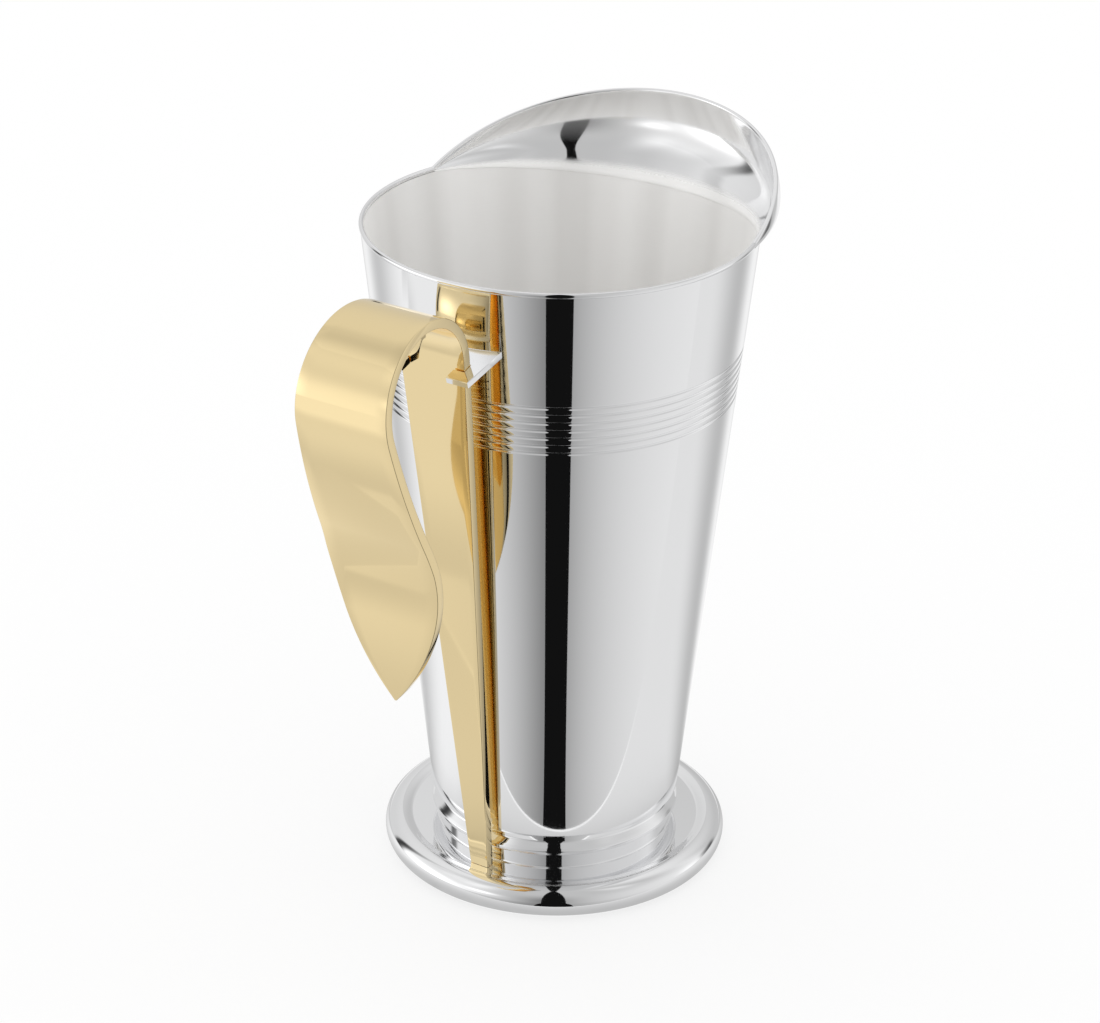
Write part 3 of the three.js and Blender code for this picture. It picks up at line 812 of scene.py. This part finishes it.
def screen(name, points, tone):
    """A sheet that only mirrors see, glowing with the grey tone given for each of its points."""
    made = stage_sheet(name, points)
    layer = made.data.attributes.new("tone", "FLOAT", "POINT")
    layer.data.foreach_set("value", tone.astype(np.float32).ravel())
    finish = Finish(name)
    grey = finish.node("Attribute", {"attribute_name": "tone"}, {}, "Color")
    light = finish.node("Emission", {}, {"Color": grey, "Strength": 1.0}, "Emission")
    finish.tree.links.new(light.socket, finish.tree.nodes["Material Output"].inputs["Surface"])
    made.data.materials.append(finish.material)
    made.visible_camera = False
    made.visible_diffuse = False
    made.visible_shadow = False
    made.visible_transmission = False
    return made


SLOT_HALF = 7.6
SLOT_TOP = 89.0
BOARD_FRONT = 0.0665
BOARD_EDGE = 0.001
BOARD_TURN = 4.5
ROOM = 1.2
SCREEN_LIFT = 0.0004
SLOT_TONE = 0.006
FOOT_REACH = 0.0567
LEFT_LINE = 0.174
# Soft lights: bearing, height, spread to the sides, spread in height (all in degrees), brightness.
SOFT_LIGHTS = [
    (-75, 0, 30, 22, 0.32), (-60, 48, 14, 16, 0.4), (95, 3, 10, 12, 0.25),
    (-84, 48, 14, 14, 0.3), (62, 60, 12, 12, 0.25), (-88, 10, 14, 10, 1.0), (-46, 17, 10, 6, 0.6),
]
# Dark gaps that stand on the floor: bearing, spread, height, depth of the dark.
DARK_GAPS = [(-118, 6, 44, 0.75), (116, 9, 13, 0.5)]
facing = CAMERA[:2] / np.hypot(*CAMERA[:2])
beside_camera = np.array([-facing[1], facing[0]])
slot_edges = np.array([-SLOT_HALF - 0.05, -SLOT_HALF, SLOT_HALF, SLOT_HALF + 0.05])


def smooth(value, start, end):
    """Soft step from 0 to 1 between start and end."""
    part = np.clip((value - start) / (end - start), 0, 1)
    return part * part * (3 - 2 * part)


def room_tone(side):
    """Grey over the bearing from the camera: darker in front, paler to the sides, dim behind them."""
    rise = 1 - np.exp(-np.clip(np.abs(side) - SLOT_HALF, 0, None) / 35)
    grey = np.where(side > 0, 0.38 + 0.5 * rise, 0.25 + 0.78 * rise ** 1.3)
    return grey - 0.3 * smooth(np.abs(side), 104, 124)


def in_slot(side):
    """1 inside the dark slot in front of the camera and 0 beside it."""
    return np.abs(side) <= SLOT_HALF + 0.01


def left_floor(tone, side, ahead):
    """The floor's tone with the left part put in: paler up to a line beside the handle, and beyond
    that line a little darker at first and bright further out."""
    left = smooth(np.degrees(np.arctan2(-side, ahead)), 42, 62) * (side < 0)
    beyond = -LEFT_LINE - (side * beside_camera[0] + ahead * facing[0])
    outer = 0.74 + 0.14 * smooth(beyond, 0.005, 0.05) + 0.18 * smooth(beyond, 0.12, 0.27)
    return tone + left * smooth(beyond, -0.003, 0.003) * (outer - tone)


def laid_out(side, ahead, up):
    """Points in metres from lengths towards the camera's right, towards the camera and up."""
    flat = side[..., None] * beside_camera + ahead[..., None] * facing
    return np.concatenate([flat, up[..., None]], 2)


# Floor in front of the board's straight edge, as bearings and distances from the pitcher's middle.
limit = np.degrees(np.arccos(BOARD_FRONT / ROOM))
bearing = np.sort(np.concatenate([np.linspace(-limit, limit, 241) + BOARD_TURN, slot_edges]))
near = BOARD_FRONT / np.cos(np.radians(bearing - BOARD_TURN))
edge_share = np.array([0, 1, 1.001])[:, None] * BOARD_EDGE / BOARD_FRONT
far_share = np.linspace(0, 1, 90)[1:, None] ** 2
distance = np.vstack([near * (1 + edge_share), near + (ROOM - near) * (far_share * 0.9995 + 0.0005)])
distance = np.maximum.accumulate(np.maximum(distance, near), 0)
table_tone = room_tone(bearing) * (1 - in_slot(bearing)) + SLOT_TONE + 0 * distance
table_tone[:2] = table_tone[:2] + (1.0 - table_tone[:2]) * (1 - smooth(np.abs(bearing), 45, 70))
table_side = distance * np.sin(np.radians(bearing))
table_ahead = distance * np.cos(np.radians(bearing))
table_tone = left_floor(table_tone, table_side, table_ahead)
screen("table_front", laid_out(table_side, table_ahead, 0 * distance + SCREEN_LIFT), table_tone)

# The board that the pitcher stands on, as lengths along its front edge and back from it.
spread = np.linspace(-1, 1, 91)
spread = np.sign(spread) * np.abs(spread) ** 2.2 * ROOM
behind = BOARD_FRONT - (BOARD_FRONT + ROOM) * np.linspace(0, 1, 61) ** 2.2
along_edge, from_edge = np.meshgrid(spread, behind)
turned = np.radians(BOARD_TURN)
board_side = along_edge * np.cos(turned) + from_edge * np.sin(turned)
board_ahead = from_edge * np.cos(turned) - along_edge * np.sin(turned)
board_bearing = np.degrees(np.arctan2(board_side, board_ahead))
board_reach = np.hypot(board_side, board_ahead)
board_tone = 0.8 - 0.27 * smooth(np.abs(board_bearing), 95, 125)
board_tone += 0.4 * smooth(np.abs(board_bearing), 126, 150)
board_tone -= 0.35 * smooth(np.abs(board_bearing), 152, 176)
board_left = smooth(-board_bearing, 50, 85) * (1 - smooth(-board_bearing, 110, 140))
board_tone += board_left * (0.22 * smooth(BOARD_FRONT - from_edge, 0.0, 0.06) - 0.07)
board_tone = left_floor(board_tone, board_side, board_ahead)
# Painted shadow: the board's grey is darkened close round the foot, in place of the pitcher's own
# shadow on the board.
board_tone *= 1 - 0.35 * np.exp(-np.clip(board_reach - FOOT_REACH, 0, None) / 0.012)
screen("table_board", laid_out(board_side, board_ahead, 0 * board_side + SCREEN_LIFT), board_tone)

# A half globe of cloth round it all, as bearings and heights in degrees.
around = np.sort(np.concatenate([np.linspace(-180, 180, 181), slot_edges]))
raised = np.concatenate([np.linspace(0, SLOT_TOP, 97), SLOT_TOP + np.array([0.05, 0.5]), [90]])[:, None]
rising = smooth(raised, 15, 60)
toward_camera = np.cos(np.radians(raised)) * np.cos(np.radians(around))
overhead = 0.55 + 0.28 * smooth(-toward_camera, -0.1, 0.35)
behind_all = smooth(np.abs(around), 125, 160)
tent_tone = room_tone(around) * (1 - rising) + overhead * rising
tent_tone = tent_tone - 0.02 * behind_all * (1 - smooth(raised, 25, 50))
left_wall = smooth(-around, 45, 65) * (1 - smooth(-around, 100, 120))
tent_tone = tent_tone - 0.06 * left_wall * smooth(raised, 12, 30) * (1 - smooth(raised, 49, 50))
for side, wide, high, depth in DARK_GAPS:
    tent_tone = tent_tone - depth * np.exp(-((around - side) / wide) ** 4 - (raised / high) ** 4)
for side, up, wide, high, gain in SOFT_LIGHTS:
    tent_tone = tent_tone + gain * np.exp(-((around - side) / wide) ** 2 - ((raised - up) / high) ** 2)
tent_tone = np.clip(tent_tone, 0.05, None)
tent_tone = np.where(in_slot(around) & (raised <= SLOT_TOP + 0.01), SLOT_TONE, tent_tone)
tent_angle, tent_rise = np.radians(around), np.radians(raised)
tent_reach = ROOM * np.cos(tent_rise)
tent_side, tent_ahead = tent_reach * np.sin(tent_angle), tent_reach * np.cos(tent_angle)
tent_height = ROOM * np.sin(tent_rise) + 0 * tent_angle
screen("tent", laid_out(tent_side, tent_ahead, tent_height), tent_tone)

scene.cycles.max_bounces = 24
scene.cycles.glossy_bounces = 20

world = bpy.data.worlds.new("white_surroundings")
scene.world = world
world.use_nodes = True
world.node_tree.nodes["Background"].inputs["Color"].default_value = (1, 1, 1, 1)
world.node_tree.nodes["Background"].inputs["Strength"].default_value = 1.0
